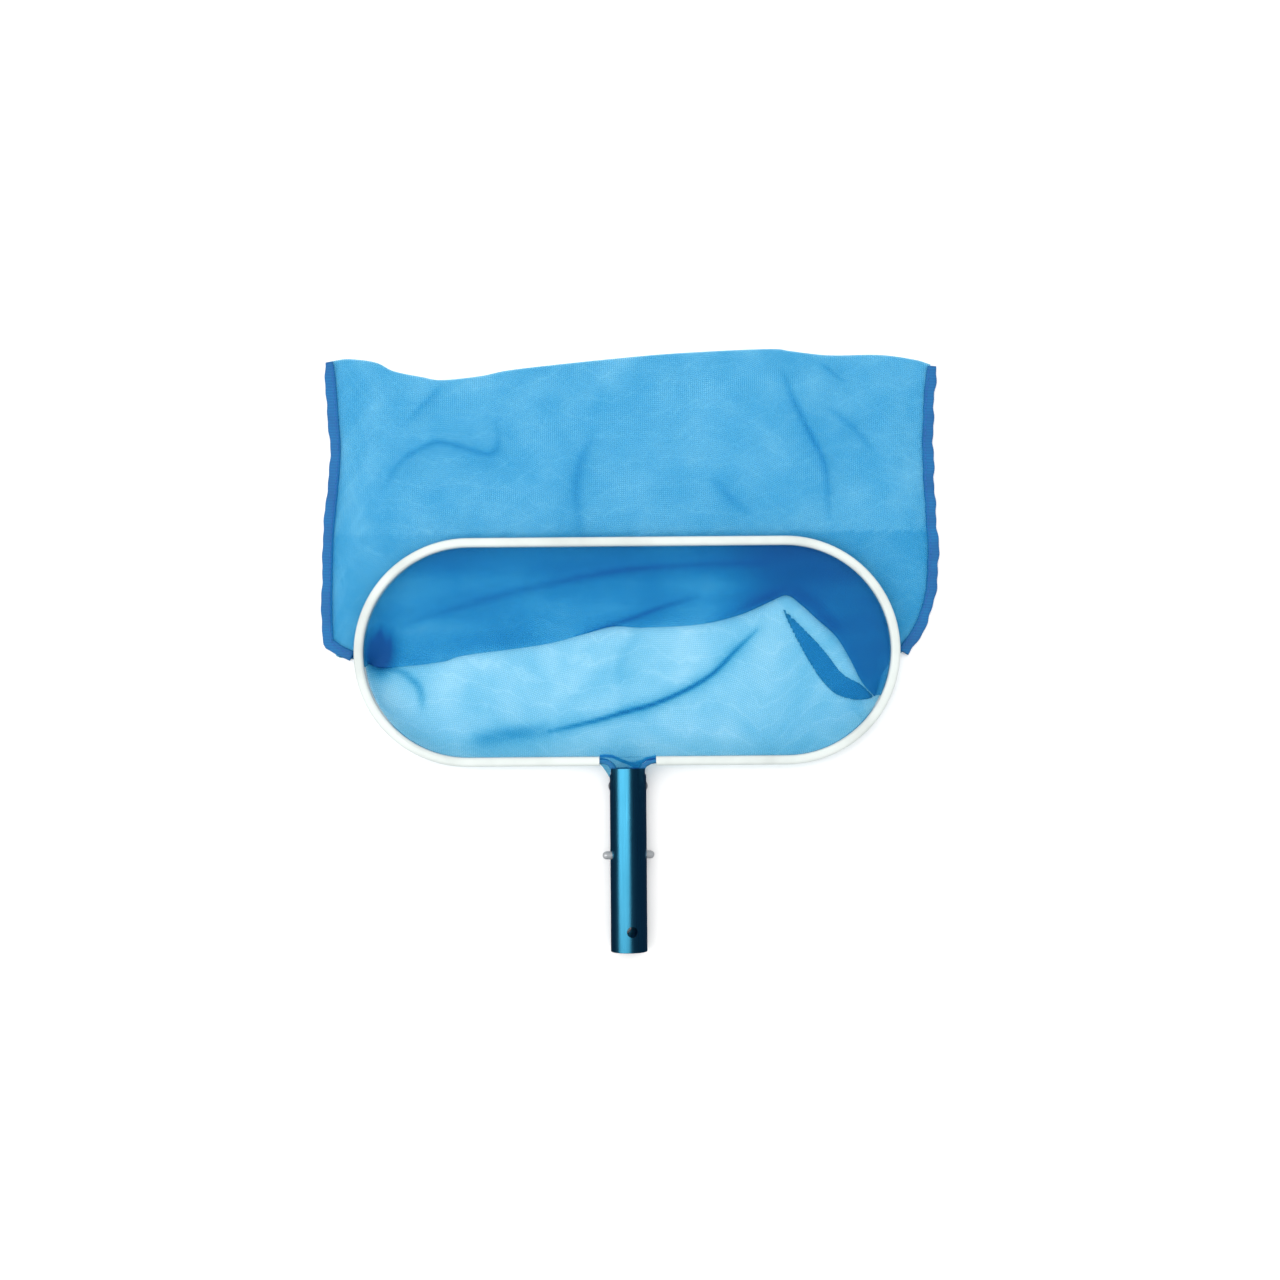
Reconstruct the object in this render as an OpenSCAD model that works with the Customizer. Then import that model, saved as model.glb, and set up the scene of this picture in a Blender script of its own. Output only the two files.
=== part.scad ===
// Leaf skimmer net: a deep mesh bag on a flat oval hoop, with a tube that takes a pole.
// Origin: centre of the tube's open end. +Y runs along the tube to the hoop and the bag,
// +X is to the right and +Z is up. The net lies on a floor that touches the tube's underside.

/* [Handle tube] */
// Outside diameter of the handle tube
tube_od = 28.6; // [24:0.1:36]
// Wall of the handle tube
tube_wall = 1.3; // [1:0.1:2]
// Length of the handle tube
tube_len = 143; // [120:1:220]
// Chamfer on the sawn ends of the tube
tube_chamfer = 0.25; // [0.1:0.05:0.4]
// Diameter of the cross hole near the open end
cross_hole_d = 8.5; // [5:0.1:9.5]
// Distance of the cross hole from the open end
cross_hole_y = 16.3; // [12:0.1:30]
// How far the tube's holes and its clip are turned about the tube
roll = 11; // [0:1:20]

/* [Snap clip] */
// Distance of the snap buttons from the open end
button_y = 75; // [60:1:80]
// Diameter of a snap button
button_d = 6.2; // [5:0.1:7]
// How far a button stands out of the tube
button_out = 6.3; // [4:0.1:7]
// Room between a button and its hole in the tube, on each side
button_gap = 1.4; // [1.3:0.1:1.8]
// How far the button hole is set towards the open end
button_hole_shift = 0.4; // [0.2:0.1:0.5]
// Diameter of the stake that holds a button in its arm
stake_d = 3; // [2:0.1:3.6]
// Diameter of the peened head on the stake
stake_head_d = 4.8; // [4.4:0.1:5.4]
// Height of the peened head on the stake
stake_head_h = 0.7; // [0.4:0.1:1]
// Thickness of the spring strip
clip_t = 0.9; // [0.6:0.1:1.2]
// Width of the spring strip
clip_w = 8; // [6:0.5:9]
// Distance from a button to the arm's knuckle at the bend
arm_len = 50; // [42:1:51]
// Radius of the bend that joins the arms, to the middle of the strip
clip_bend_r = 3.2; // [2.6:0.1:4]
// Length of the straight end of the arm, beyond the button on each side
pad_reach = 5; // [4:0.5:8]
// Gap between the arm's edge and the inside of the tube
arm_gap = 0.35; // [0.3:0.05:0.6]
// Gap between an arm's knuckle and the bend
knuckle_gap = 0.3; // [0.2:0.05:0.5]

/* [Hoop] */
// Width of the hoop over its edge trim
hoop_w = 430; // [330:5:560]
// Depth of the hoop over its edge trim, along the tube's direction
hoop_h = 180; // [130:5:220]
// Distance from the end of the tube to the outside of the trim
hoop_offset = 2; // [1.5:0.5:5]
// Thickness of the flat bar
rail_t = 3.2; // [2:0.1:4]
// Width of the flat bar, across the hoop's plane
rail_h = 9.5; // [7:0.5:10]
// Bend radius where the bar turns into the tube, to the middle of the bar
rail_bend_r = 10; // [7:0.5:10.3]
// Depth of the bar's legs inside the tube
leg_depth = 22; // [19:1:28]
// Clearance between the legs' corners and the tube
leg_fit = 0.05; // [0.02:0.01:0.2]
// Depth of the slots in the tube's mouth where the bar bends out
mouth_slot = 5; // [4.5:0.5:8]
// Room above and below the bar in those slots
mouth_slot_fit = 0.3; // [0.2:0.1:0.6]

/* [Rivets] */
// Distance of the rivets from the tube's hoop end
rivet_y = 14; // [12:0.5:18]
// Diameter of the rivet's shank
rivet_d = 3.2; // [2.4:0.1:4]
// Diameter of the rivet's head
rivet_head_d = 6.4; // [5:0.1:8]
// Height of the rivet's head
rivet_head_h = 1.2; // [0.8:0.1:1.6]
// Diameter of the swelled blind end
rivet_bulb_d = 4.8; // [4.2:0.1:5.4]
// Length of the swelled blind end
rivet_bulb_len = 2.4; // [1.6:0.1:3]
// Clearance round the rivet's shank
rivet_fit = 0.05; // [0.02:0.01:0.1]
// Diameter of the broken-off pin inside the rivet
pin_d = 1.8; // [1.2:0.1:2]
// How far the broken end of the pin is sunk below the rivet's head
pin_sink = 0.5; // [0.3:0.1:0.8]

/* [Edge trim] */
// Width of the trim, seen from above
trim_w = 7.2; // [6.8:0.1:9]
// Wall of the trim
trim_wall = 1.2; // [0.8:0.1:1.4]
// Radius of the trim's outer corners
trim_corner = 2.4; // [1.5:0.1:3]
// Width of the slot that the mesh comes out of
trim_slot = 4; // [3:0.5:5]
// How far each end of the trim stops short of the bar's bend
trim_back = 1.8; // [0.5:0.1:8]
// Clearance between the trim and the hem
trim_fit = 0.15; // [0.1:0.05:0.3]

/* [Bag] */
// Thickness of the mesh panels in this solid model
mesh_t = 0.8; // [0.6:0.1:1]
// Thickness of the hem round the bar
hem_t = 0.6; // [0.4:0.1:0.7]
// Clearance between the hem and the bar
hem_fit = 0.1; // [0.05:0.05:0.2]
// Distance from the hoop's far side to the bag's far fold
bag_reach = 137; // [80:1:200]
// How far the bag stands out past the hoop at each end
bag_side = 30; // [16:1:60]
// Height that the slack bag rises above the hoop's middle
bag_rise = 9; // [2:1:12]
// How far the loose front of the bag is turned in from the hoop's far side
flap_depth = 72; // [40:1:80]
// How much further the loose front reaches in at the left than at the right
flap_skew = 22; // [0:1:24]
// Width of the binding tape on the bag's sides
bind_w = 8; // [5:0.5:12]
// Thickness of the binding tape
bind_t = 3; // [2:0.1:4]
// Gap between the binding tape and the mesh panels
bind_gap = 0.5; // [0.4:0.05:0.8]

/* [Hidden] */
$fn = 64;

// Tube
tube_r = tube_od / 2;
bore_r = tube_r - tube_wall;
floor_z = -tube_r;
through = tube_od + 4;

// Bar, hem and trim: insets are measured inwards from the trim's outside
trim_r = hoop_h / 2;
end_x = (hoop_w - hoop_h) / 2;
hoop_y = tube_len + hoop_offset + trim_r;
hem_out = hem_fit + hem_t;
rail_inset = trim_wall + trim_fit + hem_out + rail_t / 2;
rail_r = trim_r - rail_inset;
hem_inset = rail_inset + rail_t / 2 + hem_out;
trim_h = rail_h + 2 * (hem_out + trim_fit + trim_wall);
leg_x = sqrt(pow(bore_r - leg_fit, 2) - pow(rail_h / 2, 2)) - rail_t / 2;
near_y = hoop_y - rail_r;
bend_y = near_y - rail_bend_r;
bend_x = leg_x + rail_bend_r;
trim_gap = 2 * (bend_x + trim_back);
leg_end_y = tube_len - leg_depth;
rivet_at_y = tube_len - rivet_y;
leg_in_x = leg_x - rail_t / 2;

// Snap clip, in its own rolled frame
arm_face_x = sqrt(pow(bore_r - arm_gap, 2) - pow(clip_w / 2, 2));
pad_x = arm_face_x - clip_t / 2;
knuckle_y = button_y + arm_len;
clip_bend_y = knuckle_y + clip_t / 2 + knuckle_gap;
button_r = button_d / 2;
button_tip_x = tube_r + button_out;
stake_fit = 0.05;

// Bag: columns run along the hoop's far half, rows run along the mesh
mesh_cols = 40;
slot_gap = 0.2;
panel_inset = hem_inset + slot_gap;
skirt_inset = trim_w + 0.6;
under_bar_z = -trim_h / 2 - 0.35 - mesh_t / 2;
flap_z = -1.6;
fold_r = (flap_z - under_bar_z) / 2;
cover_end_z = floor_z + mesh_t + bind_gap + mesh_t / 2;
bag_far_y = hoop_y + trim_r + bag_reach;
bag_half_w = hoop_w / 2 + bag_side;
seam_start_x = hoop_w / 2 + 4;
rows_flap = 4;
rows_fold = 4;
rows_back = 4;
rows_cover = 9;

// Sweeps a profile round the hoop. The profile's +X points out of the hoop and its +Y is up.
// gap is left open in the middle of the near side; half is "both", "near" or "far".
module hoop_sweep(r, gap, half = "both") {
    straight = end_x - gap / 2;
    start = half == "far" ? 0 : -90;
    turn = half == "both" ? 180 : 90;
    translate([0, hoop_y, 0]) {
        translate([end_x, 0, 0]) rotate([0, 0, start])
            rotate_extrude(angle = turn, $fn = 128) translate([r, 0]) children();
        translate([-end_x, 0, 0]) rotate([0, 0, half == "near" ? 180 : 90])
            rotate_extrude(angle = turn, $fn = 128) translate([r, 0]) children();
        if (half != "near")
            translate([-end_x, 0, 0]) rotate([90, 0, 90])
                linear_extrude(2 * end_x) translate([r, 0]) children();
        if (half != "far")
            for (x = gap > 0 ? [end_x, -gap / 2] : [end_x])
                translate([x, 0, 0]) rotate([90, 0, -90])
                    linear_extrude(gap > 0 ? straight : 2 * end_x) translate([r, 0]) children();
    }
}

// Sweeps a profile round the two bends where the bar turns into the tube
module bend_sweep() {
    for (side = [-1, 1])
        translate([side * bend_x, bend_y, 0]) rotate([0, 0, side > 0 ? 90 : 0])
            rotate_extrude(angle = 90) translate([rail_bend_r, 0]) children();
}

module rounded_box(w, h, r) {
    square([w - 2 * r, h], center = true);
    square([w, h - 2 * r], center = true);
    for (x = [-1, 1], y = [-1, 1])
        translate([x * (w / 2 - r), y * (h / 2 - r)]) circle(r);
}

// A cylinder along +X, from x0 to x1
module rod_x(x0, x1, r) {
    translate([x0, 0, 0]) rotate([0, 90, 0]) cylinder(h = x1 - x0, r = r);
}

module rolled() {
    rotate([0, roll, 0]) children();
}

module handle_tube() {
    rounds = tube_chamfer;
    color("royalblue") difference() {
        rotate([-90, 0, 0]) union() {
            cylinder(h = rounds, r1 = tube_r - rounds, r2 = tube_r);
            translate([0, 0, rounds]) cylinder(h = tube_len - 2 * rounds, r = tube_r);
            translate([0, 0, tube_len - rounds])
                cylinder(h = rounds, r1 = tube_r, r2 = tube_r - rounds);
        }
        translate([0, -1, 0]) rotate([-90, 0, 0]) cylinder(h = tube_len + 2, r = bore_r);
        rolled() translate([0, cross_hole_y, -through / 2])
            cylinder(h = through, d = cross_hole_d);
        rolled() translate([0, button_y - button_hole_shift, 0])
            rod_x(-through / 2, through / 2, button_r + button_gap);
        translate([0, rivet_at_y, 0]) rod_x(-through / 2, through / 2, rivet_d / 2 + rivet_fit);
        translate([-through / 2, tube_len - mouth_slot, -rail_h / 2 - mouth_slot_fit])
            cube([through, mouth_slot + 1, rail_h + 2 * mouth_slot_fit]);
    }
}

module rail_profile(grow = 0) {
    square([rail_t + 2 * grow, rail_h + 2 * grow], center = true);
}

module frame_rail() {
    color("silver") difference() {
        union() {
            hoop_sweep(rail_r, 2 * bend_x) rail_profile();
            bend_sweep() rail_profile();
            for (side = [-1, 1])
                translate([side * leg_x, (leg_end_y + bend_y) / 2, 0])
                    cube([rail_t, bend_y - leg_end_y, rail_h], center = true);
        }
        translate([0, rivet_at_y, 0])
            rod_x(-tube_r, tube_r, rivet_d / 2 + rivet_fit);
    }
}

module trim_profile() {
    difference() {
        rounded_box(trim_w, trim_h, trim_corner);
        square([trim_w - 2 * trim_wall, trim_h - 2 * trim_wall], center = true);
        translate([-trim_w / 2, 0]) square([3 * trim_wall, trim_slot], center = true);
    }
}

module edge_trim() {
    color("whitesmoke") hoop_sweep(trim_r - trim_w / 2, trim_gap) trim_profile();
}

// A blind rivet along +X: domed head outside the tube, swelled end behind the leg
module blind_rivet() {
    dome_r = (pow(rivet_head_d / 2, 2) + pow(rivet_head_h, 2)) / (2 * rivet_head_h);
    rotate([0, 90, 0]) rotate_extrude() difference() {
        union() {
            intersection() {
                translate([0, tube_r + rivet_head_h - dome_r]) circle(dome_r, $fn = 128);
                translate([0, tube_r]) square([rivet_head_d / 2, rivet_head_h]);
            }
            translate([0, leg_in_x - 1]) square([rivet_d / 2, tube_r - leg_in_x + 1.1]);
            translate([0, leg_in_x - rivet_bulb_len])
                square([rivet_bulb_d / 2, rivet_bulb_len - rivet_fit]);
        }
        translate([-1, 0]) square([1 + pin_d / 2, 2 * tube_r]);
    }
}

module rivet_pin() {
    pin_in_x = leg_in_x - rivet_bulb_len - 0.4;
    rod_x(pin_in_x, tube_r + rivet_head_h - pin_sink, pin_d / 2);
}

module leg_rivet_left() {
    color("gainsboro") translate([0, rivet_at_y, 0]) rotate([0, 0, 180]) blind_rivet();
}

module leg_rivet_right() {
    color("gainsboro") translate([0, rivet_at_y, 0]) blind_rivet();
}

module rivet_pin_left() {
    color("dimgray") translate([0, rivet_at_y, 0]) rotate([0, 0, 180]) rivet_pin();
}

module rivet_pin_right() {
    color("dimgray") translate([0, rivet_at_y, 0]) rivet_pin();
}

module clip_bend() {
    color("lightsteelblue") rolled() translate([0, clip_bend_y, 0])
        rotate_extrude(angle = 180) translate([clip_bend_r, 0])
            square([clip_t, clip_w], center = true);
}

// A straight length of strip between two points, with round ends
module strip_run(a, b) {
    along = b - a;
    length = norm(along);
    translate(a) circle(clip_t / 2);
    translate(b) circle(clip_t / 2);
    translate(a) rotate(atan2(along[1], along[0]))
        translate([0, -clip_t / 2]) square([length, clip_t]);
}

// The arm on the +X side: knuckle, slanted run and straight end with the button's hole
module clip_arm() {
    pad_top = [pad_x, button_y + pad_reach];
    difference() {
        linear_extrude(clip_w, center = true) {
            strip_run([clip_bend_r, knuckle_y], pad_top);
            strip_run(pad_top, [pad_x, button_y - pad_reach]);
        }
        translate([0, button_y, 0]) rod_x(0, tube_r, stake_d / 2 + stake_fit);
    }
}

// The button on the +X side, turned in one profile: domed tip, straight side, stake and peened head
module clip_button() {
    dome_x = button_tip_x - button_r;
    head_x = arm_face_x - clip_t - stake_head_h;
    translate([0, button_y, 0]) rotate([0, 90, 0]) rotate_extrude() intersection() {
        union() {
            translate([0, arm_face_x]) square([button_r, dome_x - arm_face_x]);
            translate([0, dome_x]) circle(button_r);
            translate([0, head_x]) square([stake_d / 2, arm_face_x - head_x + 0.5]);
            translate([0, head_x]) square([stake_head_d / 2, stake_head_h]);
        }
        square([tube_r, 2 * tube_od]);
    }
}

module clip_arm_left() {
    color("lightsteelblue") rolled() mirror([1, 0, 0]) clip_arm();
}

module clip_arm_right() {
    color("lightsteelblue") rolled() clip_arm();
}

module clip_button_left() {
    color("lightgray") rolled() mirror([1, 0, 0]) clip_button();
}

module clip_button_right() {
    color("lightgray") rolled() clip_button();
}

// Sleeve of doubled mesh round the bar, down its bends as far as the tube's mouth
module mouth_hem() {
    color("darkblue") {
        hoop_sweep(rail_r, 2 * bend_x) hem_profile();
        intersection() {
            bend_sweep() hem_profile();
            translate([0, tube_len + 0.3 + rail_bend_r, 0])
                cube([4 * bend_x, 2 * rail_bend_r, 2 * rail_h], center = true);
        }
    }
}

module hem_profile() {
    difference() {
        rail_profile(hem_out);
        rail_profile(hem_fit);
    }
}

function mix(a, b, t) = a + (b - a) * t;
function smooth(t) = t * t * (3 - 2 * t);
function unit(v) = v / norm(v);

// Catmull-Rom curve through a list of points, t from 0 to 1
function curve(p, t) =
    let (n = len(p) - 1, s = min(floor(t * n), n - 1), f = t * n - s,
         a = p[max(s - 1, 0)], b = p[s], c = p[s + 1], d = p[min(s + 2, n)])
    0.5 * (2 * b + (c - a) * f + (2 * a - 5 * b + 4 * c - d) * f * f
        + (3 * b - a - 3 * c + d) * f * f * f);

// Half of the hoop at an inset, from its left end to its right end; way is 1 for the far half
function half_hoop(t, inset, way) =
    let (r = trim_r - inset, arc = 90 * PI / 180 * r, whole = 2 * (arc + end_x),
         s = t * whole, last = s - arc - 2 * end_x)
    s < arc
        ? [-end_x - r * cos(90 * s / arc), hoop_y + way * r * sin(90 * s / arc)]
        : s < arc + 2 * end_x
            ? [s - arc - end_x, hoop_y + way * r]
            : [end_x + r * sin(90 * last / arc), hoop_y + way * r * cos(90 * last / arc)];

// Side seam on one side, from the hoop's end to the far corner
function seam(side, t) =
    let (w = side * bag_half_w, y0 = hoop_y, y1 = bag_far_y)
    curve([
        [side * seam_start_x, y0 - 2], [w - side * 2, y0 + 16], [w, mix(y0, y1, 0.22)],
        [w - side * 5, mix(y0, y1, 0.45)], [w - side * 7, mix(y0, y1, 0.7)], [w, y1 - 2]
    ], t);

// Far fold of the bag, from left to right, as the slack cloth lies
function far_fold(t) =
    let (w = bag_half_w, y = bag_far_y)
    curve([[-w, y - 2], [-0.56 * w, y - 9], [-0.12 * w, y + 2],
           [0.4 * w, y + 12], [0.7 * w, y + 9], [w, y - 2]], t);

// The bag's outline from the left seam's start, round the far fold, to the right seam's start
seam_share = 0.3;
function outline(t) =
    t < seam_share ? seam(-1, t / seam_share)
    : t > 1 - seam_share ? seam(1, (1 - t) / seam_share)
    : far_fold((t - seam_share) / (1 - 2 * seam_share));

// The outline drawn in by the binding tape's half width, square to each side seam
function seam_edge(side, t) =
    let (e = 0.02, along = unit(seam(side, min(t + e, 1)) - seam(side, max(t - e, 0))))
    seam(side, t) - side * [along[1], -along[0]] * (bind_w / 2 + bind_gap);
function panel_edge(t) =
    let (p = outline(t), most = bag_half_w - bind_w / 2 - bind_gap)
    t < seam_share ? seam_edge(-1, t / seam_share)
    : t > 1 - seam_share ? seam_edge(1, (1 - t) / seam_share)
    : [max(min(p[0], most), -most), p[1]];

// The line where the loose front turns back on itself, inside the hoop
function flap_line(t) =
    let (y = hoop_y + trim_r - flap_depth, e = end_x + trim_r - trim_w - 7)
    curve([
        [-e, hoop_y - 1], [-end_x - 40, y - flap_skew / 2], [-end_x / 2, y + 4],
        [end_x / 3, y + flap_skew / 2], [end_x + 10, y + flap_skew], [e, hoop_y - 1]
    ], t);

// One point of the loose front and the bag's upper side, at column t and row k
function front_point(t, k) =
    let (slot = half_hoop(t, panel_inset, 1), lip = half_hoop(t, trim_w + 1, 1),
         fold = flap_line(t), inner = half_hoop(t, trim_w + 1.5, 1),
         outer = half_hoop(t, -2, 1), edge = panel_edge(t),
         k1 = 2 + rows_flap, k2 = k1 + rows_fold, k3 = k2 + rows_back,
         away = unit(fold - lip))
    k == 0 ? [slot[0], slot[1], 0]
    : k == 1 ? [lip[0], lip[1], -0.2]
    : k < k1 ? let (f = (k - 1) / rows_flap, p = mix(lip, fold - away * fold_r, f))
        [p[0], p[1], mix(-0.2, flap_z, smooth(f))]
    : k < k2 ? let (a = 90 - 180 * (k - k1 + 0.5) / rows_fold,
                    p = fold + away * fold_r * (cos(a) - 1))
        [p[0], p[1], (flap_z + under_bar_z) / 2 + fold_r * sin(a)]
    : k <= k3 ? let (f = (k - k2) / rows_back, p = mix(fold - away * fold_r, inner, f))
        [p[0], p[1], under_bar_z]
    : let (w = (k - k3 - 1) / rows_cover, p = mix(outer, edge, w), span = norm(edge - outer),
           h = min(bag_rise - under_bar_z, 0.16 * span))
        [p[0], p[1], mix(under_bar_z, cover_end_z, smooth(w)) + h * pow(sin(180 * w), 0.8)];

// Closed sheet of even thickness over a grid of points, offset along the grid's own normals
module sheet(grid, t) {
    rows = len(grid);
    cols = len(grid[0]);
    function along(r, c) = grid[min(r + 1, rows - 1)][c] - grid[max(r - 1, 0)][c];
    function across(r, c) = grid[r][min(c + 1, cols - 1)] - grid[r][max(c - 1, 0)];
    function shifted(r, c, s) = grid[r][c] + s * t / 2 * unit(cross(across(r, c), along(r, c)));
    function at(r, c, s) = (s * rows + r) * cols + c;
    points = [for (s = [0, 1], r = [0:rows - 1], c = [0:cols - 1]) shifted(r, c, 2 * s - 1)];
    skin = [for (s = [0, 1], r = [0:rows - 2], c = [0:cols - 2], h = [0, 1])
        let (q = h == 0 ? [at(r, c, s), at(r, c + 1, s), at(r + 1, c + 1, s)]
                        : [at(r, c, s), at(r + 1, c + 1, s), at(r + 1, c, s)])
        s == 0 ? q : [q[2], q[1], q[0]]];
    ring = concat(
        [for (c = [0:cols - 1]) [0, c]], [for (r = [1:rows - 1]) [r, cols - 1]],
        [for (c = [cols - 2:-1:0]) [rows - 1, c]], [for (r = [rows - 2:-1:1]) [r, 0]]
    );
    rim = [for (i = [0:len(ring) - 1], h = [0, 1])
        let (a = ring[i], b = ring[(i + 1) % len(ring)])
        h == 0 ? [at(a[0], a[1], 0), at(a[0], a[1], 1), at(b[0], b[1], 1)]
               : [at(a[0], a[1], 0), at(b[0], b[1], 1), at(b[0], b[1], 0)]];
    polyhedron(points, concat(skin, rim), convexity = 6);
}

module bag_front_panel() {
    last = 3 + rows_flap + rows_fold + rows_back + rows_cover;
    grid = [for (k = [0:last]) [for (c = [0:mesh_cols]) front_point(c / mesh_cols, k)]];
    color("deepskyblue") sheet(grid, mesh_t);
}

// The lower side: a skirt from the hoop's near half down to the floor, and the floor panel
module bag_back_panel() {
    depth = skirt_inset + mesh_t;
    floor_r = trim_r - skirt_inset - mesh_t / 2;
    color("skyblue") {
        hoop_sweep(trim_r, 0, "near") {
            translate([-depth, -mesh_t / 2])
                square([depth - panel_inset, mesh_t]);
            translate([-depth, floor_z + mesh_t / 2])
                square([mesh_t, -floor_z - mesh_t / 2]);
        }
        translate([0, 0, floor_z]) linear_extrude(mesh_t) {
            polygon([for (c = [0:2 * mesh_cols]) panel_edge(c / (2 * mesh_cols))]);
            translate([0, hoop_y]) square([2 * end_x, 2 * floor_r], center = true);
            for (x = [-end_x, end_x]) translate([x, hoop_y]) circle(floor_r, $fn = 128);
        }
    }
}

// Binding tape along one side seam: a flat strip with rounded edges
module side_binding(side) {
    rings = 26;
    profile = [[-1, -0.6], [-0.8, -1], [0.8, -1], [1, -0.6], [1, 0.6], [0.8, 1], [-0.8, 1], [-1, 0.6]];
    n = len(profile);
    function ring_point(i, q) =
        let (p = seam(side, i / rings), a = seam(side, max(i - 0.5, 0) / rings),
             b = seam(side, min(i + 0.5, rings) / rings), d = unit(b - a))
        [p[0] + d[1] * q[0] * bind_w / 2, p[1] - d[0] * q[0] * bind_w / 2,
         floor_z + bind_t / 2 + q[1] * bind_t / 2];
    points = [for (i = [0:rings], q = profile) ring_point(i, q)];
    walls = [for (i = [0:rings - 1], k = [0:n - 1], h = [0, 1])
        let (a = i * n + k, b = i * n + (k + 1) % n)
        h == 0 ? [a, a + n, b] : [b, a + n, b + n]];
    ends = [[for (k = [0:n - 1]) k], [for (k = [n - 1:-1:0]) rings * n + k]];
    color("navy") polyhedron(points, concat(walls, ends), convexity = 4);
}

module side_binding_left() {
    side_binding(-1);
}

module side_binding_right() {
    side_binding(1);
}

handle_tube();
frame_rail();
edge_trim();
leg_rivet_left();
leg_rivet_right();
rivet_pin_left();
rivet_pin_right();
clip_bend();
clip_arm_left();
clip_arm_right();
clip_button_left();
clip_button_right();
mouth_hem();
bag_front_panel();
bag_back_panel();
side_binding_left();
side_binding_right();
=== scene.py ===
import math

import bmesh
import bpy
import numpy as np
from mathutils import Matrix, Vector


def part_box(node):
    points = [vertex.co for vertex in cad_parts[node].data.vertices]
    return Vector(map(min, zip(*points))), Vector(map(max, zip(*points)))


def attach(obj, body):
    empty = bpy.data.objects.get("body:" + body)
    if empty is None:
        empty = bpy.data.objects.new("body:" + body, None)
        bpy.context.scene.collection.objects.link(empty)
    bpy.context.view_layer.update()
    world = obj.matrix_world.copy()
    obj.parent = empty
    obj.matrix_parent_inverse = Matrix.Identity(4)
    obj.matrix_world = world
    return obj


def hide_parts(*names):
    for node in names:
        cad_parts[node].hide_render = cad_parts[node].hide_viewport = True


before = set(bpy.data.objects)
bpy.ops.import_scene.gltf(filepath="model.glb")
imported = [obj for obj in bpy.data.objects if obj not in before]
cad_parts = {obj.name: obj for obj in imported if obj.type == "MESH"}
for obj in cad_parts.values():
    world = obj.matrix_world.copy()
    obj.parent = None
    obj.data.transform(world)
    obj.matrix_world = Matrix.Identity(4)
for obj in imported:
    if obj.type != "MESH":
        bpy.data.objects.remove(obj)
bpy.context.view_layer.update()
mm = 0.001


# Colours, nodes and meshes

def hexColour(code):  # sRGB hex to the linear values that shaders take
    parts = [int(code[i:i + 2], 16) / 255 for i in (0, 2, 4)]
    return tuple(c / 12.92 if c <= 0.04045 else ((c + 0.055) / 1.055) ** 2.4 for c in parts) + (1.0,)


def newMaterial(name):
    material = bpy.data.materials.new(name)
    material.use_nodes = True
    material.node_tree.nodes.clear()
    return material


def addNode(tree, kind, inputs=None, **settings):  # inputs by name or place, as a value or a socket to link
    node = tree.nodes.new(kind)
    for key, value in settings.items():
        setattr(node, key, value)
    for key, value in (inputs or {}).items():
        if isinstance(value, bpy.types.NodeSocket):
            tree.links.new(value, node.inputs[key])
        else:
            node.inputs[key].default_value = value
    return node


def meshObject(name, points, faces, material):  # points in millimetres
    mesh = bpy.data.meshes.new(name)
    mesh.from_pydata((np.asarray(points, float) * mm).tolist(), [], faces)
    mesh.update()
    mesh.shade_smooth()
    obj = bpy.data.objects.new(name, mesh)
    bpy.context.scene.collection.objects.link(obj)
    mesh.materials.append(material)
    return obj


# Curves, in millimetres

def boxOf(name):
    low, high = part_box(name)
    return np.array(low) / mm, np.array(high) / mm


def mix(a, b, share):
    return a + (b - a) * share


def smooth(share):
    share = np.clip(share, 0, 1)
    return share * share * (3 - 2 * share)


def curvePath(knots, count):  # evenly spaced points on a Catmull-Rom curve through the knots
    knots = np.array(knots, float)
    before = np.vstack([2 * knots[0] - knots[1], knots, 2 * knots[-1] - knots[-2]])
    f = np.linspace(0, 1, 24, endpoint=False)[:, None]
    runs = []
    for a, b, c, d in zip(before, before[1:], before[2:], before[3:]):
        runs.append(0.5 * (2 * b + (c - a) * f + (2 * a - 5 * b + 4 * c - d) * f * f
                           + (3 * b - a - 3 * c + d) * f ** 3))
    line = np.vstack(runs + [knots[-1:]])
    return evenly(line, count)


def evenly(line, count):
    far = np.concatenate([[0], np.cumsum(np.linalg.norm(np.diff(line, axis=0), axis=1))])
    at = np.linspace(0, far[-1], count)
    return np.stack([np.interp(at, far, line[:, i]) for i in range(line.shape[1])], axis=1)


def distanceTo(points, line):  # distance of each point from a polyline, and its place along it from 0 to 1
    best = np.full(len(points), 1e9)
    place = np.zeros(len(points))
    far = np.concatenate([[0], np.cumsum(np.linalg.norm(np.diff(line, axis=0), axis=1))])
    for i in range(len(line) - 1):
        a, along = line[i], line[i + 1] - line[i]
        f = np.clip((points - a) @ along / max(along @ along, 1e-9), 0, 1)
        gap = np.linalg.norm(points - a - f[:, None] * along, axis=1)
        closer = gap < best
        best[closer] = gap[closer]
        place[closer] = ((far[i] + f * (far[i + 1] - far[i])) / far[-1])[closer]
    return best, place


# The hoop, worked out from the frame
trimLow, trimHigh = boxOf("edge_trim")
tubeLow, tubeHigh = boxOf("handle_tube")
trimR = (trimHigh[1] - trimLow[1]) / 2
endX = (trimHigh[0] - trimLow[0]) / 2 - trimR
hoopY = (trimHigh[1] + trimLow[1]) / 2
trimWide = 7.2
floorZ = tubeLow[2]
quarter = trimR * math.pi / 2
half = 2 * (quarter + endX)


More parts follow.
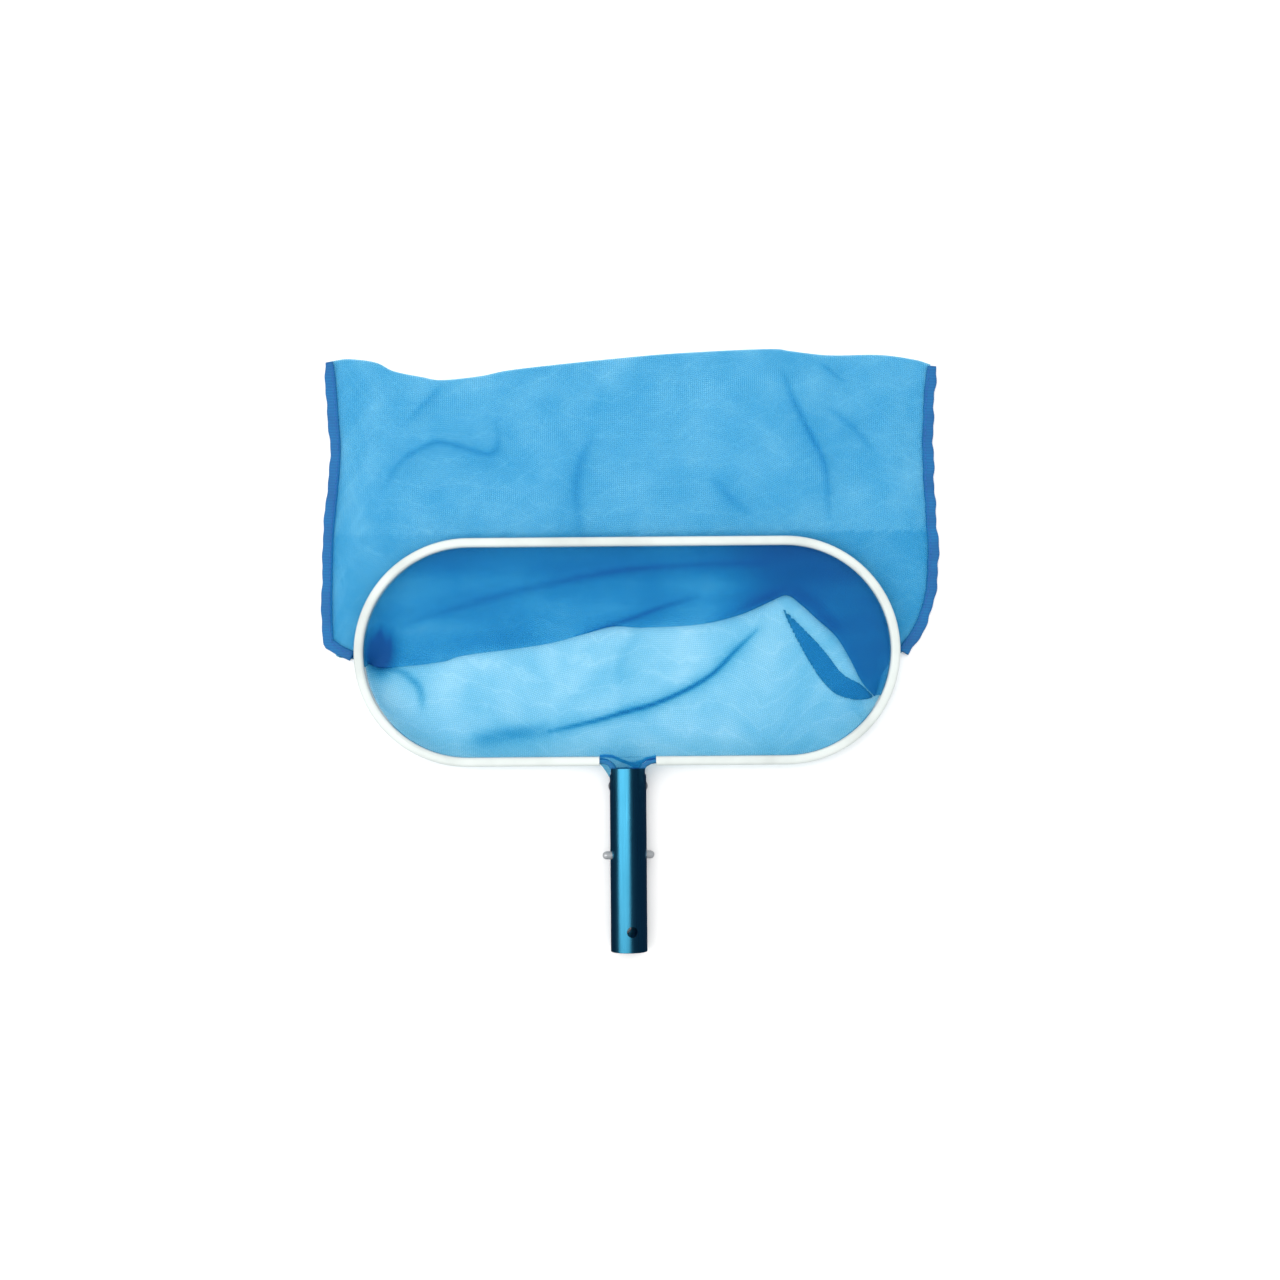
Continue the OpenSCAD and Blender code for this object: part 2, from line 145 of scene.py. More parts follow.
def hoopAt(u, inset):  # u runs from the left end over the far side, then back along the near side
    r = trimR - inset
    u = np.mod(u, 2 * half)
    near = u > half
    s = np.where(near, 2 * half - u, u)
    last = s - quarter - 2 * endX
    x = np.where(s < quarter, -endX - r * np.cos(s / trimR),
                 np.where(last < 0, s - quarter - endX, endX + r * np.sin(last / trimR)))
    y = np.where(s < quarter, r * np.sin(s / trimR), np.where(last < 0, r, r * np.cos(last / trimR)))
    return np.stack([x, hoopY + np.where(near, -y, y)], axis=-1)


print("stage: curves ready")

def clothSheet(name, grid, gatherAndShade, thick, material):  # a closed sheet over a grid of points, with its flat UVs
    rows, cols = grid.shape[:2]
    index = np.arange(rows * cols).reshape(rows, cols)
    faces = np.stack([index[:-1, :-1], index[:-1, 1:], index[1:, 1:], index[1:, :-1]], axis=-1).reshape(-1, 4)
    obj = meshObject(name, grid.reshape(-1, 3), faces[:, ::-1].tolist(), material)
    # The point attribute carries how much denser the cloth is drawn and how much painted shade darkens it
    attribute = obj.data.attributes.new("gatherShade", "FLOAT", "POINT")
    attribute.data.foreach_set("value", gatherAndShade.ravel().astype(np.float32))
    steps = np.linalg.norm(np.diff(grid, axis=0), axis=2)
    down = np.cumsum(np.concatenate([np.zeros((1, cols)), steps]), axis=0)
    steps = np.linalg.norm(np.diff(grid, axis=1), axis=2)
    across = np.cumsum(np.concatenate([np.zeros((rows, 1)), steps], axis=1), axis=1)
    across -= across[:, cols // 2:cols // 2 + 1]
    flat = np.stack([across, down], axis=-1).reshape(-1, 2) * mm
    uv = obj.data.uv_layers.new(name="cloth")
    corner = np.empty(len(obj.data.loops), np.int32)
    obj.data.loops.foreach_get("vertex_index", corner)
    uv.data.foreach_set("uv", flat[corner].ravel().astype(np.float32))
    skin = obj.modifiers.new("thickness", "SOLIDIFY")
    skin.thickness, skin.offset, skin.use_even_offset = thick * mm, 0, False
    return obj


# Bag net

net = {
    "columns": 200, "flapRows": 26, "foldRows": 5, "returnRows": 24, "coverRows": 60, "backRows": 118,
    "slotInset": 6.2, "leftTurn": -12.0, "rightTurn": 41.0,
    "flapZ": -9.4, "returnZ": -12.1, "backZ": floorZ + 0.35, "foldR": 1.3,
    "coverRise": 17.0, "thickness": 0.25,
    "flat": (0.50, 0.62),
}
foldKnots = [(-206, 228), (-198, 224), (-183, 224), (-147, 228), (-129, 233), (-67, 241), (-35, 249),
             (-11, 255), (13, 254), (56, 256), (88, 263), (112, 273), (127, 279), (138, 272), (151, 260),
             (166, 246), (177, 228), (186, 210), (196, 198)]
farKnots = [(-237, 469), (-222, 471), (-200, 468), (-186, 461), (-163, 456), (-147, 453.5), (-116, 456.5),
            (-85, 462), (12, 471.5), (70, 475), (118, 476.5), (134, 474.5), (164, 471), (204, 471),
            (232, 467), (245, 463)]
leftKnots = [(-237, 469), (-234, 430), (-232, 396), (-235, 355), (-238, 318), (-238, 252), (-233, 241),
             (-219, 233)]
rightKnots = [(245, 462), (243, 430), (241, 390), (243, 350), (244, 310), (241, 275), (232, 252),
              (219, 233)]
creases = [  # layer, knots, half width, painted crease shade, height
    ("back", [(-62, 172), (-27, 180), (-2, 187), (23, 194), (50, 206), (69, 218), (87, 236), (104, 252)],
     1.6, 0.9, 1.6),
    ("back", [(-127, 164), (-95, 170), (-58, 173)], 6.0, 0.35, 1.2),
    ("back", [(-192, 224), (-178, 219), (-166, 208), (-163, 192)], 2.6, 0.4, 1.5),
    ("back", [(10, 252), (-4, 228), (-6, 205)], 5.0, 0.12, 0.8),
    ("flap", [(-40, 249), (0, 260), (28, 270), (56, 278)], 2.0, 0.75, 1.5),
    ("flap", [(-184, 255), (-127, 273), (-85, 284), (-34, 294), (5, 300), (60, 303), (110, 304)], 2.6, 0.6, 1.8),
    ("flap", [(129, 285), (150, 270), (170, 248)], 6.0, 0.3, 1.0),
    ("flap", [(-204, 228), (-198, 240), (-194, 256)], 1.8, 0.8, 2.0),
    ("flap", [(-200, 225), (-190, 234), (-187, 250)], 1.6, 0.7, 2.0),
    ("flap", [(60, 256), (96, 270), (125, 284)], 3.0, 0.35, 1.5),
    ("cover", [(-147, 448), (-160, 433), (-173, 418)], 2.2, 0.35, 2.0),
    ("cover", [(-190, 366), (-177, 386), (-154, 400), (-140, 400), (-108, 392), (-101, 402), (-103, 418)], 2.4, 0.5, 2.6),
    ("cover", [(-26, 409), (-39, 369), (-36, 327)], 4.0, 0.4, 3.0),
    ("cover", [(126, 458), (134, 432), (147, 402), (157, 379), (160, 340)], 2.6, 0.5, 2.8),
    ("cover", [(159, 428), (178, 412), (196, 392)], 3.0, 0.3, 2.0),
    ("cover", [(157, 464), (166, 456), (174, 450)], 2.0, 0.35, 1.6),
    ("cover", [(69, 372), (82, 356), (98, 343)], 3.5, 0.3, 2.0),
]
t = np.linspace(0, 1, net["columns"] + 1)
turnFront = mix(net["leftTurn"], half + net["rightTurn"], t)
slotFront = hoopAt(turnFront, net["slotInset"])
lipFront = hoopAt(turnFront, trimWide + 1.0)
foldLine = curvePath(foldKnots, len(t))
underIn = hoopAt(mix(-4, half + 22, t), trimWide + 3)
underOut = hoopAt(mix(0.0, half, t), -2.0)
farLine = curvePath(farKnots, len(t))
turnBack = mix(2 * half + net["leftTurn"], half + net["rightTurn"], t)
slotBack = hoopAt(turnBack, net["slotInset"])
sides = {"left": curvePath(leftKnots, 200), "right": curvePath(rightKnots, 200)}


def patch(first, last, left, right, rows):  # Coons patch of rows from first to last, with its two side lines
    v = np.linspace(0, 1, rows + 1)[:, None, None]
    s = t[None, :, None]
    left, right = evenly(left, rows + 1)[:, None, :], evenly(right, rows + 1)[:, None, :]
    ruled = (1 - v) * first[None] + v * last[None]
    corners = ((1 - s) * (1 - v) * first[0] + s * (1 - v) * first[-1] + (1 - s) * v * last[0] + s * v * last[-1])
    return ruled + (1 - s) * left + s * right - corners


def waves(points, seed, size, count=9):  # soft uneven height from -1 to 1, in lengths of about size
    rng = np.random.default_rng(seed)
    total = np.zeros(points.shape[:-1])
    for _ in range(count):
        heading, phase, length = rng.uniform(0, math.pi), rng.uniform(0, 6.3), size * rng.uniform(0.7, 1.6)
        total += np.sin((points @ [math.cos(heading), math.sin(heading)]) * 2 * math.pi / length + phase)
    return total / count ** 0.5 / 1.6


def unit(v):
    return v / np.maximum(np.linalg.norm(v, axis=-1, keepdims=True), 1e-9)


def along(z, shape):
    return np.broadcast_to(z, shape)[..., None]


layers, tags = [], []


def addRows(name, flat, z):
    layers.append(np.concatenate([flat, along(z, flat.shape[:-1])], axis=-1))
    tags.extend([name] * len(flat))


f = np.linspace(0, 1, net["flapRows"] + 1)[:, None]
away = unit(foldLine - lipFront)
foldBack = foldLine - away * net["foldR"]
flapFlat = mix(lipFront[None], foldBack[None], f[..., None])
flapZ = mix(-0.5, net["flapZ"], smooth(f * 1.25)) + 0.9 * waves(flapFlat, 3, 60) * np.sin(math.pi * f)
addRows("flap", slotFront[None], 0.0)
addRows("flap", flapFlat, np.clip(flapZ, net["flapZ"] - 0.6, -0.4))
middle, reach = (net["flapZ"] + net["returnZ"]) / 2, (net["flapZ"] - net["returnZ"]) / 2
bend = np.radians(90 - 180 * (np.arange(net["foldRows"]) + 0.5) / net["foldRows"])
addRows("flap", foldBack[None] + away[None] * (np.cos(bend) * net["foldR"])[:, None, None],
        (middle + np.sin(bend) * reach)[:, None])
f = np.linspace(0, 1, net["returnRows"])[:, None]
returnFlat = mix(foldBack[None], underIn[None], f[..., None])
addRows("return", returnFlat, net["returnZ"] + 0.3 * waves(returnFlat, 4, 50))
addRows("return", mix(underIn[None], underOut[None], np.array([0.33, 0.67])[:, None, None]), net["returnZ"])
cover = patch(underOut, farLine, sides["left"][::-1], sides["right"][::-1], net["coverRows"])
f = np.linspace(0, 1, net["coverRows"] + 1)[:, None]
side = smooth(np.minimum(t, 1 - t) / 0.09)[None, :]
swell = np.sin(math.pi * np.clip(f, 0, 1) ** 0.8) ** 0.75 * side
coverZ = mix(net["returnZ"] + 0.3, net["returnZ"] - 0.4, f) + swell * (
    net["coverRise"] - 1.5 + 3.6 * waves(cover * [1.0, 0.45], 11, 100) + 1.7 * waves(cover * [1.0, 0.6], 12, 45)
    + 0.6 * waves(cover, 13, 22))
addRows("cover", cover, coverZ)
outward = unit(farLine - cover[-4])
bend = np.radians(90 - 180 * (np.arange(net["foldRows"]) + 0.5) / net["foldRows"])
addRows("cover", farLine[None] + outward[None] * (np.cos(bend) * 0.8)[:, None, None],
        ((net["returnZ"] - 0.4 + net["backZ"]) / 2 + np.sin(bend) * 0.7)[:, None])
leftDown = np.vstack([sides["left"], [slotBack[0]]])
rightDown = np.vstack([sides["right"], [slotBack[-1]]])
back = patch(farLine, slotBack, leftDown, rightDown, net["backRows"])
lowEnd = back[..., 1] < hoopY - 3
for sign in (-1, 1):  # under the hoop's near ends the cloth stays inside the trim
    hub = np.array([sign * endX, hoopY])
    far = np.linalg.norm(back - hub, axis=-1)
    out = lowEnd & (sign * back[..., 0] > endX) & (far > trimR - net["slotInset"])
    back[out] = (hub + (back - hub) * ((trimR - net["slotInset"]) / np.maximum(far, 1))[..., None])[out]
climb = 1 - smooth(np.linalg.norm(back - slotBack[None], axis=-1) / 20.0)
backZ = net["backZ"] + 0.35 + 0.35 * waves(back, 21, 80) + (0.0 - net["backZ"] - 0.35) * climb ** 1.3
addRows("back", back, np.maximum(backZ, net["backZ"]))
grid = np.concatenate(layers)
tags = np.array(tags)
rows, cols = grid.shape[:2]
# Per point: denser cloth plus painted shade, darker along creases, at the bunched left end, on the hanging cloth and
# inside the mouth
gatherShade = np.zeros((rows, cols))
for layer, knots, wide, dark, high in creases:
    pick = tags == layer
    points = grid[pick][..., :2].reshape(-1, 2)
    gap, place = distanceTo(points, curvePath(knots, 40))
    fade = (np.sin(math.pi * np.clip(place, 0.02, 0.98)) ** 0.45)
    line = (np.exp(-(gap / wide) ** 2) * fade).reshape(-1, cols)
    ridge = (np.exp(-gap / (2.2 * wide)) * fade).reshape(-1, cols)
    soft = (np.exp(-(gap / (4.5 * wide)) ** 2) * fade).reshape(-1, cols)
    # Painted shade: a dark line along each crease and a broad soft shadow beside it
    gatherShade[pick] += dark * (line + 0.3 * soft)
    grid[pick, :, 2] += high * ridge if layer != "flap" else 0.4 * high * ridge
print("stage: bag grid", rows, cols)

# The crescent: a pleat in the lower layer near the right end, where the cloth doubles over itself
pleat = {"outer": [(121, 273), (130, 253), (143, 228), (155, 210), (166, 200), (180, 195), (190, 195), (197, 197)],
         "inner": [(121, 273), (144.5, 249), (161, 231), (173.5, 215), (187, 207), (197, 197)], "stack": 0.5}
outerLine, innerLine = curvePath(pleat["outer"], 40), curvePath(pleat["inner"], 40)
centreLine = (outerLine + innerLine) / 2
halfWide = np.linalg.norm(outerLine - innerLine, axis=1) / 2
pick = np.where(tags == "back")[0]
points = grid[pick][..., :2].reshape(-1, 2)
gap, place = distanceTo(points, centreLine)
sideway = unit(outerLine - innerLine)
at = np.clip(place * 39, 0, 39)
pointAt = np.stack([np.interp(at, np.arange(40), centreLine[:, i]) for i in (0, 1)], axis=1)
normalAt = unit(np.stack([np.interp(at, np.arange(40), sideway[:, i]) for i in (0, 1)], axis=1))
spread = np.interp(at, np.arange(40), halfWide) / 0.457 + 0.01
q = np.einsum("ij,ij->i", points - pointAt, normalAt) / spread
inside = (np.abs(q) < 1) & (gap < 1.2 * spread) & (place > 0.001) & (place < 0.999)
turned = q - 0.9 * np.sin(math.pi * q)
shift = np.where(inside, (turned - q) * spread, 0)[:, None] * normalAt
grid[pick, :, :2] += shift.reshape(len(pick), cols, 2)
stack = np.where(inside, (1 - q) / 2 * np.cos(math.pi * q / 2) * 2 * pleat["stack"], 0)
grid[pick, :, 2] += stack.reshape(len(pick), cols) * 1.2
# A painted dark patch where the cloth bunches at the left end, drawn denser and shaded
bunchShade = np.exp(-(((grid[..., 0] + 197) / 9) ** 2 + ((grid[..., 1] - 234) / 15) ** 2))
gatherShade += 1.4 * bunchShade * (tags != "cover")[:, None]
hangingShade = np.isin(tags, ["flap", "return"])[:, None]  # painted shade on the slack cloth that hangs in the mouth: drawn denser and darker to the right, near the far bar and in uneven streaks
gatherShade += hangingShade * (0.58 * smooth((grid[..., 0] - 60) / 70) + 0.26 * smooth((grid[..., 1] - 280) / 30)
                     + 0.12 * waves(grid[..., :2] * [0.35, 1.0], 31, 26))
# Painted shade on the lower layer inside the mouth, strongest along the hoop's near edge and towards the right
nearGap = np.linalg.norm(grid[..., :2] - slotBack[None], axis=-1)
mouthShadeMask = grid[..., 1] < 330
gatherShade += (tags == "back")[:, None] * (0.10 * mouthShadeMask + 0.22 * np.exp(-nearGap / 16)
                                       + 0.10 * smooth((grid[..., 0] - 60) / 80) * mouthShadeMask)
grid[..., 2] = np.maximum(grid[..., 2], floorZ + 0.2)

netMaterial = newMaterial("blue polyester mesh")
bagNet = clothSheet("bagNet", grid, gatherShade, net["thickness"], netMaterial)

tree = netMaterial.node_tree
# What it gives the eye: see-through sky-blue netting that turns deeper blue wherever it lies in layers, with painted
# shade along creases, bunches and hanging cloth
cloth = addNode(tree, "ShaderNodeUVMap", uv_map="cloth").outputs["UV"]
gatherAndShade = addNode(tree, "ShaderNodeAttribute", attribute_name="gatherShade").outputs["Fac"]
# Threads 1.6 mm apart, where the real netting has them about 0.5 mm apart, which is too fine to show
warp = addNode(tree, "ShaderNodeTexWave", {"Vector": cloth, "Scale": 196.0, "Distortion": 0.6, "Detail": 1.0,
                                           "Detail Scale": 0.3}, bands_direction="X").outputs["Fac"]
weft = addNode(tree, "ShaderNodeTexWave", {"Vector": cloth, "Scale": 196.0, "Distortion": 0.6, "Detail": 1.0,
                                           "Detail Scale": 0.3}, bands_direction="Y").outputs["Fac"]
threads = addNode(tree, "ShaderNodeMath", {0: warp, 1: weft}, operation="MAXIMUM").outputs[0]
drift = addNode(tree, "ShaderNodeTexNoise", {"Vector": cloth, "Scale": 28.0, "Detail": 3.0}).outputs["Fac"]
woven = addNode(tree, "ShaderNodeMapRange", {"Value": threads, "To Min": 0.22, "To Max": 0.36}).outputs[0]
patchy = addNode(tree, "ShaderNodeMapRange", {"Value": drift, "From Min": 0.3, "From Max": 0.7,
                                              "To Min": -0.05, "To Max": 0.05}).outputs[0]
uneven = addNode(tree, "ShaderNodeMath", {0: woven, 1: patchy}, operation="ADD").outputs[0]
# Faint pale wandering bands, as where the threads of two layers fall into step
bands = addNode(tree, "ShaderNodeTexWave", {"Vector": cloth, "Scale": 16.0, "Distortion": 7.0, "Detail": 3.0,
                                            "Detail Scale": 1.6, "Detail Roughness": 0.62},
                bands_direction="Y").outputs["Fac"]
narrow = addNode(tree, "ShaderNodeMapRange", {"Value": bands, "From Min": 0.93, "From Max": 1.0,
                                              "To Max": -0.03}).outputs[0]
streaked = addNode(tree, "ShaderNodeMath", {0: uneven, 1: narrow}, operation="ADD").outputs[0]
# The gather-and-shade value also thickens the threads, so shaded places are drawn denser
fibres = addNode(tree, "ShaderNodeMath", {0: gatherAndShade, 1: 0.55, 2: streaked}, operation="MULTIPLY_ADD",
                 use_clamp=True).outputs[0]
relief = addNode(tree, "ShaderNodeBump", {"Height": threads, "Strength": 0.25, "Distance": 0.0003}).outputs[0]
# Painted shade: the thread colour darkens to deep blue 0B5EA8 where the gather-and-shade value is high
shadedThreadColour = addNode(tree, "ShaderNodeMix", {0: gatherAndShade, 6: hexColour("208FCE"), 7: hexColour("0B5EA8")},
               data_type="RGBA").outputs[2]
thread = addNode(tree, "ShaderNodeBsdfPrincipled", {
    "Base Color": shadedThreadColour, "Roughness": 0.6, "Specular IOR Level": 0.3, "Normal": relief}).outputs[0]
glow = addNode(tree, "ShaderNodeBsdfTransparent", {"Color": hexColour("64E2F2")}).outputs[0]
fibre = addNode(tree, "ShaderNodeMixShader", {0: 0.42, 1: glow, 2: thread}).outputs[0]
clear = addNode(tree, "ShaderNodeBsdfTransparent", {"Color": (1, 1, 1, 1)}).outputs[0]
mixed = addNode(tree, "ShaderNodeMixShader", {0: fibres, 1: clear, 2: fibre}).outputs[0]
addNode(tree, "ShaderNodeOutputMaterial", {"Surface": mixed})
print("stage: bag net")


# Hem round the bar, its web at the handle, and the side bindings

def sweep(name, path, wide, high, material, sides=14, square=0.6):  # rounded tape along a path, closed at its ends
    path = np.asarray(path, float)
    wide = np.broadcast_to(wide, len(path))
    turn = np.linspace(0, 2 * math.pi, sides, endpoint=False)
    ring = np.stack([np.sign(np.cos(turn)) * np.abs(np.cos(turn)) ** square,
                     np.sign(np.sin(turn)) * np.abs(np.sin(turn)) ** square], axis=1)
    forward = unit(np.gradient(path, axis=0))
    right = unit(np.cross(forward, [0, 0, 1.0]))
    up = np.cross(right, forward)
    points = (path[:, None] + right[:, None] * ring[None, :, :1] * wide[:, None, None]
              + up[:, None] * ring[None, :, 1:] * high)
    n = len(path)
    faces = [(i * sides + k, i * sides + (k + 1) % sides, (i + 1) * sides + (k + 1) % sides, (i + 1) * sides + k)
             for i in range(n - 1) for k in range(sides)]
    faces += [tuple(range(sides))[::-1], tuple((n - 1) * sides + k for k in range(sides))]
    obj = meshObject(name, points.reshape(-1, 3), faces, material)
    shape = bmesh.new()
    shape.from_mesh(obj.data)
    bmesh.ops.recalc_face_normals(shape, faces=shape.faces)
    shape.to_mesh(obj.data)
    shape.free()
    obj.data.shade_smooth()
    return obj


def tapeMaterial(name, dark, light, ribs):
    # What it gives the eye: dense dark blue tape with fine ribs and a dull sheen
    material = newMaterial(name)
    tree = material.node_tree
    place = addNode(tree, "ShaderNodeTexCoord").outputs["Object"]
    # Ribs 1.2 mm apart, where real tape has them about 0.6 mm apart
    lines = addNode(tree, "ShaderNodeTexWave", {"Vector": place, "Scale": ribs, "Distortion": 1.5, "Detail": 2.0},
                    bands_direction="Y").outputs["Fac"]
    cloudy = addNode(tree, "ShaderNodeTexNoise", {"Vector": place, "Scale": 60.0, "Detail": 4.0}).outputs["Fac"]
    blend = addNode(tree, "ShaderNodeMath", {0: lines, 1: cloudy}, operation="MULTIPLY").outputs[0]
    colour = addNode(tree, "ShaderNodeMix", {0: blend, 6: hexColour(dark), 7: hexColour(light)},
                     data_type="RGBA").outputs[2]
    rough = addNode(tree, "ShaderNodeMapRange", {"Value": cloudy, "To Min": 0.55, "To Max": 0.8}).outputs[0]
    relief = addNode(tree, "ShaderNodeBump", {"Height": lines, "Strength": 0.5, "Distance": 0.0003}).outputs[0]
    shader = addNode(tree, "ShaderNodeBsdfPrincipled", {
        "Base Color": colour, "Roughness": rough, "Normal": relief}).outputs[0]
    addNode(tree, "ShaderNodeOutputMaterial", {"Surface": shader})
    return material


hemMaterial = tapeMaterial("dark blue doubled netting", "0A5F94", "1E92C4", 260.0)
tapeBlue = tapeMaterial("royal blue binding tape", "055290", "1185C0", 260.0)
railTop = boxOf("frame_rail")[1][1]
barHalf = 1.6
hem = {"inset": trimR - (railTop - hoopY) + barHalf, "wide": 2.3, "high": 5.45}
railNear = hoopY - trimR + hem["inset"]
bendR, legX = 10.0, 10.5
bendX = legX + bendR
arc = np.radians(np.linspace(90, 12, 12))
leftBend = np.stack([-bendX + bendR * np.cos(arc), railNear - bendR + bendR * np.sin(arc)], axis=1)
loop = hoopAt(np.linspace(bendX - quarter - endX, half + quarter + endX - bendX, 320), hem["inset"])
hemPath = np.vstack([leftBend[::-1], loop, leftBend * [-1, 1]])
hemPath = np.column_stack([hemPath, np.zeros(len(hemPath))])
pulled = 1 + 0.14 * np.sin(np.linspace(0, 260, len(hemPath)))
mouthHem = sweep("mouthHem", hemPath, hem["wide"] * pulled ** 0.5, hem["high"], hemMaterial)
print("stage: hem")

web = {
    "columns": 88, "rows": 44, "half": 22.0, "top": 16.0, "turn": 0.6, "thickness": 0.3,
    # Heights above the tube's open end: where the cloth folds over, and its lower edge
    "fold": [(-22, 9.6), (-17.6, 10.0), (-12, 9.5), (-4.8, 5.9), (2, 3.2), (5.5, 2.5), (10.7, 3.8), (14.8, 6.2),
             (22, 8.2)],
    "edge": [(-22, 3.3), (-19.5, 0.8), (-17, -3.0), (-14, -8.4), (-13.5, 0.4), (-12, 0.4), (-11, -0.8), (11, -0.8),
             (12.5, 0.4), (14.5, 0.9), (17.5, 2.6), (20, 4.4), (22, 5.0)],
}
across = np.linspace(-1, 1, web["columns"] + 1)[None, :]
downWeb = np.linspace(0, 1, web["rows"] + 1)[:, None]
webX = across * web["half"] + 0 * downWeb
foldY, edgeY = (np.interp(webX, *np.array(web[name]).T) for name in ("fold", "edge"))
upper = np.clip(downWeb / web["turn"], 0, 1)
lower = np.clip((downWeb - web["turn"]) / (1 - web["turn"]), 0, 1)
webY = tubeHigh[1] + mix(mix(web["top"], foldY, upper), edgeY, lower)
foldZ = 6.4 - 7.0 * np.exp(-((webX - 4) / 9) ** 2)
edgeZ = np.where(webX > -13.8, 2.0, mix(1.0, -4.6, smooth((webX + 20) / 6)))
webZ = mix(mix(-0.3, foldZ, smooth(upper)), edgeZ, smooth(lower))
netEdge = hoopY - trimR + net["slotInset"]
# Painted shade on the web at the handle: darker below the net's edge, a dark line along the fold and a darker lower
# part, most to the right; thinner where it lies over the net
webGatherShade = 0.36 - 0.95 * smooth((webY - netEdge + 0.4) / 1.6)
webGatherShade = webGatherShade + 2.4 * np.exp(-((webY - tubeHigh[1] - foldY) / (1.0 + 0.9 * smooth(across * 3))) ** 2)
webGatherShade = webGatherShade + lower * (0.25 + 0.75 * smooth(across * 2))
webGrid = np.stack(np.broadcast_arrays(webX, webY, webZ), axis=-1)
mouthWeb = clothSheet("mouthWeb", webGrid, webGatherShade, web["thickness"], netMaterial)
print("stage: mouth web")

binding = {"points": 150, "half": 4.3, "thick": 1.6, "topTaper": -0.9, "topLift": 1.2,
           "seeds": {"Left": 5, "Right": 8}, "waves": ((0.5, 3), (0.45, 7), (0.3, 17))}
bindings = []
places = np.linspace(0, 1, binding["points"])
for name, line, sign in (("Left", sides["left"], -1), ("Right", sides["right"], 1)):
    path = evenly(line, binding["points"])
    rng = np.random.default_rng(binding["seeds"][name])
    wave = sum(a * np.sin(np.linspace(0, 2 * math.pi * k, binding["points"]) + rng.uniform(0, 6))
               for a, k in binding["waves"])
    path[:, 0] += sign * (0.4 + 0.8 * wave * (1 if sign > 0 else 0.5))
    lift = np.interp(places, [0, 0.05, 0.9, 1], [binding["topLift"], 0.2, 0.2, 0.0])
    z = net["returnZ"] - 0.45 + lift
    tape = np.column_stack([path, z])
    wide = binding["half"] + 0.35 * wave + np.interp(places, [0, 0.05, 1], [binding["topTaper"], 0, 0])
    bindings.append((sweep("sideBinding" + name, tape, wide, binding["thick"], tapeBlue), tape, sign))
print("stage: bindings")


# Stitches

def stitchTree():
    group = bpy.data.node_groups.new("stitches", "GeometryNodeTree")
    face = group.interface
    face.new_socket("Geometry", in_out="INPUT", socket_type="NodeSocketGeometry")
    for label, kind, value in (("Pitch", "NodeSocketFloat", 0.004), ("Stitch length", "NodeSocketFloat", 0.0028),
                               ("Thread radius", "NodeSocketFloat", 0.0003), ("Seed", "NodeSocketInt", 3),
                               ("Material", "NodeSocketMaterial", None)):
        socket = face.new_socket(label, in_out="INPUT", socket_type=kind)
        if value is not None:
            socket.default_value = value
    face.new_socket("Geometry", in_out="OUTPUT", socket_type="NodeSocketGeometry")
    given = addNode(group, "NodeGroupInput").outputs
    line = addNode(group, "GeometryNodeMeshToCurve", {"Mesh": given["Geometry"]}).outputs[0]
    spaced = addNode(group, "GeometryNodeResampleCurve", {"Curve": line, "Length": given["Pitch"]}, mode="LENGTH")
    tangent = addNode(group, "GeometryNodeInputTangent").outputs[0]
    facing = addNode(group, "FunctionNodeAlignRotationToVector", {"Vector": tangent}, axis="Z").outputs[0]
    loose = addNode(group, "FunctionNodeRandomValue", {"Min": (-0.12, -0.12, -0.12), "Max": (0.12, 0.12, 0.12),
                                                       "Seed": given["Seed"]}, data_type="FLOAT_VECTOR").outputs[0]
    turned = addNode(group, "FunctionNodeRotateRotation", {"Rotation": facing, "Rotate By": loose}).outputs[0]
    thread = addNode(group, "GeometryNodeMeshCylinder", {"Vertices": 8, "Radius": given["Thread radius"],
                                                         "Depth": given["Stitch length"]}).outputs[0]
    placed = addNode(group, "GeometryNodeInstanceOnPoints", {"Points": spaced.outputs[0], "Instance": thread,
                                                             "Rotation": turned}).outputs[0]
    real = addNode(group, "GeometryNodeRealizeInstances", {"Geometry": placed}).outputs[0]
    painted = addNode(group, "GeometryNodeSetMaterial", {"Geometry": real, "Material": given["Material"]}).outputs[0]
    addNode(group, "NodeGroupOutput", {"Geometry": painted})
    return group


threadBlue = tapeMaterial("pale blue sewing thread", "1F5FAE", "3A7CC4", 900.0)
stitches = stitchTree()


def stitchRow(name, lines, sizes):
    points, edges = [], []
    for line in lines:
        edges += [(len(points) + i, len(points) + i + 1) for i in range(len(line) - 1)]
        points += (np.asarray(line) * mm).tolist()
    mesh = bpy.data.meshes.new(name)
    mesh.from_pydata(points, edges, [])
    guide = bpy.data.objects.new(name + "Guide", mesh)
    bpy.context.scene.collection.objects.link(guide)
    rowModifier = guide.modifiers.new("stitches", "NODES")
    rowModifier.node_group = stitches
    for item in stitches.interface.items_tree:
        if item.item_type == "SOCKET" and item.in_out == "INPUT" and item.name in sizes:
            rowModifier[item.identifier] = sizes[item.name]
    done = bpy.data.meshes.new_from_object(guide.evaluated_get(bpy.context.evaluated_depsgraph_get()))
    obj = bpy.data.objects.new(name, done)
    bpy.context.scene.collection.objects.link(obj)
    bpy.data.objects.remove(guide)
    return obj


sewn = {"Pitch": 0.0045, "Stitch length": 0.0030, "Thread radius": 0.00035, "Seed": 4, "Material": threadBlue}
sewing = []
for tapePiece, tape, sign in bindings:
    inner = tape + [0, 0, binding["thick"] - 0.05]
    inner[:, 0] -= sign * 2.3
    sewing.append(stitchRow(tapePiece.name.replace("sideBinding", "stitches"), [inner[3:-3]], sewn))
hemStitches = stitchRow("stitchesHem", [hemPath[2:-2] + [0, 0, hem["high"] - 0.05]], {
    **sewn, "Thread radius": 0.0002, "Seed": 6})
print("stage: stitches")

# Metals and plastics for the frame's own pieces


